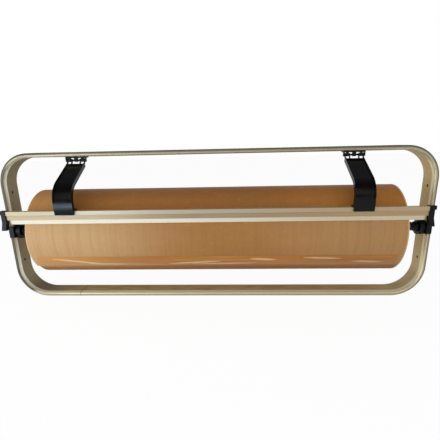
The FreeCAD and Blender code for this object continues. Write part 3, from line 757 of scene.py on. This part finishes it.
def make_camera():
    """Camera at the photograph's place, angle and field of view."""
    ahead = Vector((math.sin(CAMERA_YAW) * math.cos(CAMERA_PITCH),
                    math.cos(CAMERA_YAW) * math.cos(CAMERA_PITCH), math.sin(CAMERA_PITCH)))
    level = Vector((math.cos(CAMERA_YAW), -math.sin(CAMERA_YAW), 0))
    upright = level.cross(ahead)
    right = math.cos(CAMERA_ROLL) * level + math.sin(CAMERA_ROLL) * upright
    up = math.cos(CAMERA_ROLL) * upright - math.sin(CAMERA_ROLL) * level
    data = bpy.data.cameras.new("camera")
    data.sensor_width = SENSOR
    data.sensor_fit = "HORIZONTAL"
    data.lens = FOCAL_PIXELS / PHOTO_SIZE * SENSOR
    data.shift_x = (PHOTO_SIZE / 2 - CENTRE_PIXEL[0]) / PHOTO_SIZE
    data.shift_y = (CENTRE_PIXEL[1] - PHOTO_SIZE / 2) / PHOTO_SIZE
    data.clip_start = CLIP_START
    camera = bpy.data.objects.new("camera", data)
    turn = Matrix((right, up, -ahead)).transposed().to_4x4()
    camera.matrix_world = Matrix.Translation(CAMERA_PLACE) @ turn
    bpy.context.scene.collection.objects.link(camera)
    bpy.context.scene.camera = camera


# Strength of the room in the object's gloss and in the light on it, and the room's tint
ROOM_GLOSS = 0.16
ROOM_LIGHT = 0.35
ROOM_TINT = (0.95, 0.97, 1.0, 1)
# The gloss shows white from the first to the second value, as how far a direction points back,
# up and right
BACKDROP = (-0.1, 0.25)
BELOW_CEILING = (0.7, 0.3)
OFF_LEFT = (-0.62, -0.42)


def make_world():
    """White backdrop behind the object and a dimmer room on the other sides."""
    world = bpy.data.worlds.new("world")
    world.use_nodes = True
    tree = world.node_tree
    nodes = Nodes(tree)
    direction = nodes.node("ShaderNodeTexCoord", {}).outputs["Generated"]
    split = nodes.node("ShaderNodeSeparateXYZ", {0: direction})
    behind = nodes.between(split.outputs[1], *BACKDROP)
    below = nodes.between(split.outputs[2], *BELOW_CEILING)
    off_left = nodes.between(split.outputs[0], *OFF_LEFT)
    backdrop = nodes.times(nodes.times(behind, below), off_left)
    paths = nodes.node("ShaderNodeLightPath", {}).outputs
    gloss = nodes.largest(paths["Is Glossy Ray"], paths["Is Transmission Ray"])
    white_share = nodes.largest(paths["Is Camera Ray"], nodes.times(gloss, backdrop))
    room = tree.nodes["Background"]
    nodes.feed(room.inputs["Color"], ROOM_TINT)
    nodes.feed(room.inputs["Strength"], nodes.spread(gloss, ROOM_LIGHT, ROOM_GLOSS))
    white = nodes.node("ShaderNodeBackground", {"Color": (1, 1, 1, 1)})
    mix = nodes.node("ShaderNodeMixShader", {0: white_share, 1: room.outputs[0], 2: white.outputs[0]})
    nodes.feed(tree.nodes["World Output"].inputs[0], mix.outputs[0])
    bpy.context.scene.world = world


# Floor: half its width in metres, its own grey, and the white glow that views and gloss see
FLOOR_HALF = 6.0
FLOOR_GREY = (0.8, 0.8, 0.8, 1)
FLOOR_GLOW = 1.045
FLOOR_SHARE = 0.9


def make_floor():
    """Plain white floor that keeps a faint shadow."""
    half = FLOOR_HALF
    corners = [(-half, -half, 0), (half, -half, 0), (half, half, 0), (-half, half, 0)]
    shader = Shader("floor_white", Base_Color=FLOOR_GREY, Roughness=1.0, Specular_IOR_Level=0.0)
    paths = shader.node("ShaderNodeLightPath", {}).outputs
    seen = shader.largest(paths["Is Camera Ray"], paths["Is Glossy Ray"],
                          paths["Is Transmission Ray"])
    glow = shader.node("ShaderNodeEmission", {"Strength": FLOOR_GLOW})
    mix = shader.node("ShaderNodeMixShader", {0: shader.times(seen, FLOOR_SHARE),
                                              1: shader.surface.outputs[0], 2: glow.outputs[0]})
    shader.feed(shader.tree.nodes["Material Output"].inputs[0], mix.outputs[0])
    floor = add_mesh("floor", corners, [(0, 1, 2, 3)], [shader.material])


MIDDLE = (0, 0, 0.1)
WARM = (1.0, 0.98, 0.95)
# Lamps: place, point aimed at, width and height in metres, power in watts, tint
LAMPS = {
    "side": ((-0.85, -0.5, 0.2), (-0.15, 0, 0.1), 0.6, 0.6, 3.0, WARM),
    "front": ((-0.1, -1.3, 0.8), MIDDLE, 1.6, 0.9, 5.0, WARM),
    "right": ((0.9, -0.9, 0.4), MIDDLE, 0.8, 0.7, 1.2, (1.0, 0.97, 0.93)),
    "top": ((0, 0.1, 1.4), MIDDLE, 1.4, 0.9, 0.6, (0.95, 0.98, 1.0)),
    "low_left": ((-0.62, -0.5, 0.1), (-0.2, -0.06, 0.08), 0.3, 0.16, 0.2, WARM),
    "low_strip": ((-0.43, -0.5, 0.03), (-0.19, -0.06, 0.15), 0.34, 0.06, 0.8, (0.6, 0.82, 1.0)),
}


def make_lights():
    """Light from the left side and the front, and a cool low strip at the front left."""
    for name, (place, aim, width, height, power, tint) in LAMPS.items():
        data = bpy.data.lights.new(name, "AREA")
        data.shape = "RECTANGLE"
        data.size = width
        data.size_y = height
        data.energy = power
        data.color = tint
        lamp = bpy.data.objects.new(name, data)
        lamp.location = place
        direction = Vector(aim) - Vector(place)
        lamp.rotation_euler = direction.to_track_quat("-Z", "Y").to_euler()
        bpy.context.scene.collection.objects.link(lamp)


dress_frame()
build_roll()
build_tape()
make_camera()
make_world()
make_floor()
make_lights()
bpy.context.scene.view_settings.view_transform = "Standard"
